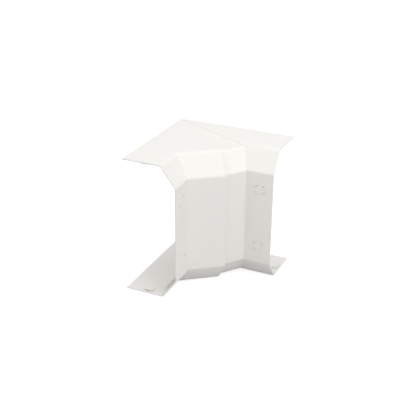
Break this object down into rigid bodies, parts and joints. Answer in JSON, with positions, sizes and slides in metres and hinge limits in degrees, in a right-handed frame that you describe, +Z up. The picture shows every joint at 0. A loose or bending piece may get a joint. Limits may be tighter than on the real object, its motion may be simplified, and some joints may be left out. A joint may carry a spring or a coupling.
{
  "type": "trunking internal corner",
  "caption": "Adjustable internal corner for wall trunking: two lapped bevelled covers that meet on a diagonal front in a room's corner.",
  "frame": {"origin": "the upright line where the two walls of the room meet, at the level of the fitting's underside", "axes": "+Z up along the line where the walls meet; the right arm runs along +X on the wall plane y = 0, the left arm along -Y on the wall plane x = 0, and the room is towards +X and -Y"},
  "size_m": [0.156, 0.156, 0.174],
  "materials": {
    "moulded_plastic": "white moulded rigid plastic with a low sheen"
  },
  "bodies": {
    "right_half": {"right_cover": "moulded_plastic"},
    "left_half": {"left_cover": "moulded_plastic"}
  },
  "joints": [
    {"name": "corner_angle", "type": "hinge", "parent": "right_half", "child": "left_half", "pos_m": [0, 0, 0.087], "axis": [0, 0, 1], "range_deg": [-5, 5]}
  ]
}
